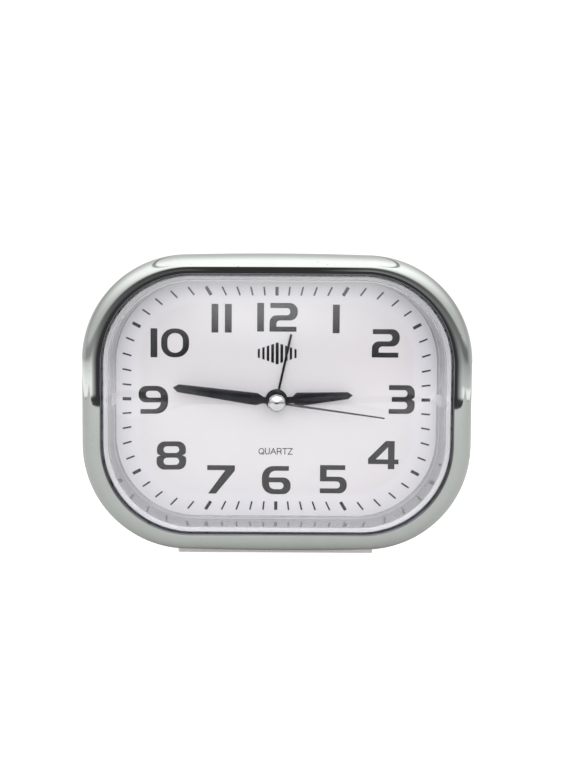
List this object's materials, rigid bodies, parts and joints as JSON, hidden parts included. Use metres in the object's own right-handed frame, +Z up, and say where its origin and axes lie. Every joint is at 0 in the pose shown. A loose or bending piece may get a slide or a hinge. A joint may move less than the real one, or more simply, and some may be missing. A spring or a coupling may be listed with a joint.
{
  "type": "quartz alarm clock",
  "caption": "Free-standing rounded-rectangle quartz alarm clock: chromed bezel, deep clear lens, white dial with numerals, four hands, gear train, setting knobs, alarm switch and battery door.",
  "frame": {"origin": "middle of the bounding box's bottom face, on the surface that the clock stands on", "axes": "+X along the dial's width, to the right as seen from the front; -Y is where the dial faces; +Z up"},
  "size_m": [0.15, 0.062, 0.1197],
  "materials": {
    "chrome_plated_plastic": "polished",
    "clear_plastic": "gloss",
    "dial_white": "satin",
    "case_white": "satin",
    "door_white": "satin",
    "knob_white": "satin",
    "hand_black": "satin",
    "cap_chrome": "polished",
    "zinc_screw": "satin",
    "natural_plastic": "satin",
    "train_plastic": "satin",
    "wheel_brass": "satin",
    "stem_steel": "satin",
    "stator_steel": "satin",
    "winding_copper": "satin",
    "magnet_grey": "matte",
    "board_green": "satin",
    "chip_black": "matte",
    "crystal_can": "gloss",
    "contact_steel": "gloss",
    "contact_brass": "satin",
    "cell_sleeve": "gloss",
    "buzzer_black": "matte",
    "switch_black": "satin",
    "lead_red": "satin",
    "lead_black": "satin"
  },
  "bodies": {
    "clock_body": {"bezel": "chrome_plated_plastic", "lens": "clear_plastic", "dial": "dial_white", "rear_case": "case_white", "case_screw_1": "zinc_screw", "case_screw_2": "zinc_screw", "case_screw_3": "zinc_screw", "case_screw_4": "zinc_screw", "movement_front_plate": "natural_plastic", "movement_middle_plate": "natural_plastic", "movement_cover": "natural_plastic", "movement_screw_1": "zinc_screw", "movement_screw_2": "zinc_screw", "movement_screw_3": "zinc_screw", "movement_screw_4": "zinc_screw", "circuit_board": "board_green", "ic_chip": "chip_black", "quartz_crystal": "crystal_can", "coil_bobbin": "natural_plastic", "coil_winding": "winding_copper", "coil_core": "stator_steel", "stator": "stator_steel", "switch_board": "board_green", "alarm_contact_spring": "contact_brass", "battery_contact_positive": "contact_steel", "battery_contact_negative": "contact_steel", "battery_spring": "contact_steel", "battery": "cell_sleeve", "buzzer": "buzzer_black", "lead_battery_positive": "lead_red", "lead_battery_negative": "lead_black", "lead_buzzer_1": "lead_red", "lead_buzzer_2": "lead_black", "lead_switch_1": "lead_red", "lead_switch_2": "lead_black"},
    "seconds": {"second_hand": "hand_black", "second_hand_cap": "cap_chrome", "seconds_wheel": "train_plastic"},
    "rotor": {"rotor": "train_plastic", "rotor_magnet": "magnet_grey"},
    "intermediate": {"intermediate_wheel": "train_plastic"},
    "third": {"third_wheel": "train_plastic"},
    "centre": {"centre_wheel": "wheel_brass"},
    "minute": {"minute_hand": "hand_black", "cannon_pinion": "wheel_brass"},
    "minute_wheel": {"minute_wheel": "train_plastic"},
    "hour": {"hour_hand": "hand_black", "hour_wheel": "train_plastic"},
    "alarm": {"alarm_hand": "hand_black", "alarm_wheel": "train_plastic"},
    "time_set": {"time_set_stem": "stem_steel", "time_set_knob": "knob_white"},
    "alarm_set": {"alarm_set_stem": "stem_steel", "alarm_set_knob": "knob_white"},
    "alarm_switch": {"alarm_switch": "switch_black"},
    "battery_door": {"battery_door": "door_white"}
  },
  "joints": [
    {"name": "seconds_turn", "type": "hinge", "parent": "clock_body", "child": "seconds", "pos_m": [0, 0, 0.06235], "axis": [0, 1, 0], "continuous": true},
    {"name": "rotor_turn", "type": "hinge", "parent": "clock_body", "child": "rotor", "pos_m": [-0.01523, 0, 0.06759], "axis": [0, 1, 0], "continuous": true},
    {"name": "intermediate_turn", "type": "hinge", "parent": "clock_body", "child": "intermediate", "pos_m": [-0.00886, 0, 0.06391], "axis": [0, 1, 0], "continuous": true},
    {"name": "third_turn", "type": "hinge", "parent": "clock_body", "child": "third", "pos_m": [0.00446, 0, 0.07008], "axis": [0, 1, 0], "continuous": true},
    {"name": "centre_turn", "type": "hinge", "parent": "clock_body", "child": "centre", "pos_m": [0, 0, 0.06235], "axis": [0, 1, 0], "continuous": true},
    {"name": "minute_turn", "type": "hinge", "parent": "clock_body", "child": "minute", "pos_m": [0, 0, 0.06235], "axis": [0, 1, 0], "continuous": true},
    {"name": "minute_wheel_turn", "type": "hinge", "parent": "clock_body", "child": "minute_wheel", "pos_m": [0.00693, 0, 0.05835], "axis": [0, 1, 0], "continuous": true},
    {"name": "hour_turn", "type": "hinge", "parent": "clock_body", "child": "hour", "pos_m": [0, 0, 0.06235], "axis": [0, 1, 0], "continuous": true},
    {"name": "alarm_turn", "type": "hinge", "parent": "clock_body", "child": "alarm", "pos_m": [0, 0, 0.06235], "axis": [0, 1, 0], "continuous": true},
    {"name": "time_set_turn", "type": "hinge", "parent": "clock_body", "child": "time_set", "pos_m": [0.01488, 0, 0.05751], "axis": [0, 1, 0], "continuous": true},
    {"name": "alarm_set_turn", "type": "hinge", "parent": "clock_body", "child": "alarm_set", "pos_m": [-0.00919, 0, 0.05464], "axis": [0, 1, 0], "continuous": true},
    {"name": "alarm_switch_slide", "type": "slide", "parent": "clock_body", "child": "alarm_switch", "axis": [1, 0, 0], "range_m": [0, 0.004]},
    {"name": "battery_door_slide", "type": "slide", "parent": "clock_body", "child": "battery_door", "axis": [0, 1, 0], "range_m": [0, 0.02]}
  ],
  "couplings": [
    {"joint": "rotor_turn", "follows": "seconds_turn", "ratio": 30},
    {"joint": "intermediate_turn", "follows": "seconds_turn", "ratio": -5},
    {"joint": "third_turn", "follows": "seconds_turn", "ratio": -0.13333},
    {"joint": "centre_turn", "follows": "seconds_turn", "ratio": 0.016667},
    {"joint": "minute_turn", "follows": "time_set_turn", "ratio": 1},
    {"joint": "minute_wheel_turn", "follows": "time_set_turn", "ratio": -0.33333},
    {"joint": "hour_turn", "follows": "time_set_turn", "ratio": 0.083333},
    {"joint": "alarm_turn", "follows": "alarm_set_turn", "ratio": -0.25}
  ]
}
